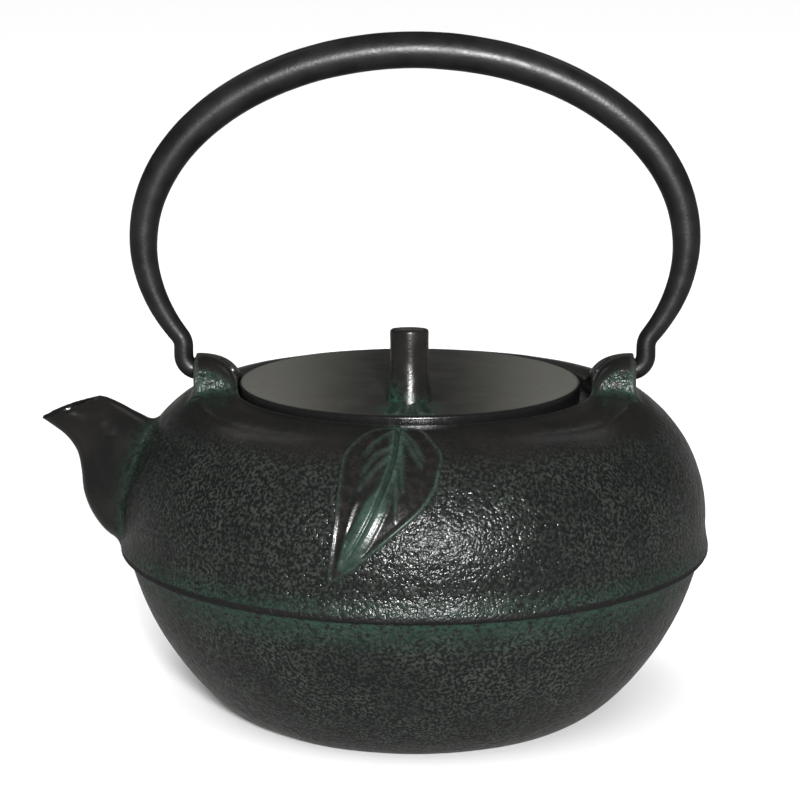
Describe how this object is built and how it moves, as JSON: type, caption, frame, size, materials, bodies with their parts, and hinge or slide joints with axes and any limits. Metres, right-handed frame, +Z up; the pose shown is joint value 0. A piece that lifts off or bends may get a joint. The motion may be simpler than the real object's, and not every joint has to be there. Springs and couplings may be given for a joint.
{
  "type": "cast iron teapot",
  "caption": "Squat round cast iron teapot with a waist lip, short spout, stem-shaped lid knob, leaf relief, lift-out steel basket and a tall hooped bail handle.",
  "frame": {"origin": "centre of the flat base, on the surface the pot stands on", "axes": "+Z up, -X towards the spout, the hooks' axis along X, the leaf on the -Y side"},
  "size_m": [0.1952, 0.172, 0.1976],
  "materials": {
    "body_iron": "pebbled cast iron, satin black with a green-grey patina in the recesses",
    "lid_iron": "smooth cast iron, satin, warm grey sheen",
    "leaf_iron": "cast iron relief with a green patina",
    "black_iron": "satin black iron",
    "handle_black": "satin black coated iron tube and rod",
    "enamel": "gloss black vitreous enamel",
    "steel": "bright brushed stainless steel"
  },
  "bodies": {
    "pot": {"body_upper": "body_iron", "body_lower": "body_iron", "spout": "black_iron", "lug_left": "body_iron", "lug_right": "body_iron", "leaf_relief": "leaf_iron", "enamel_lining": "enamel"},
    "bail": {"handle_tube": "handle_black", "hook_left": "handle_black", "hook_right": "handle_black"},
    "basket": {"basket_rim": "steel", "basket_wall": "steel", "basket_base": "steel"},
    "lid": {"lid_disc": "lid_iron", "lid_stalk": "leaf_iron", "lid_knob": "black_iron"}
  },
  "joints": [
    {"name": "handle_swing", "type": "hinge", "parent": "pot", "child": "bail", "pos_m": [0, 0, 0.0996], "axis": [1, 0, 0], "range_deg": [-105, 105]},
    {"name": "basket_lift", "type": "slide", "parent": "pot", "child": "basket", "axis": [0, 0, 1], "range_m": [0, 0.065]},
    {"name": "lid_lift", "type": "slide", "parent": "basket", "child": "lid", "axis": [0, 0, 1], "range_m": [0, 0.065]}
  ]
}
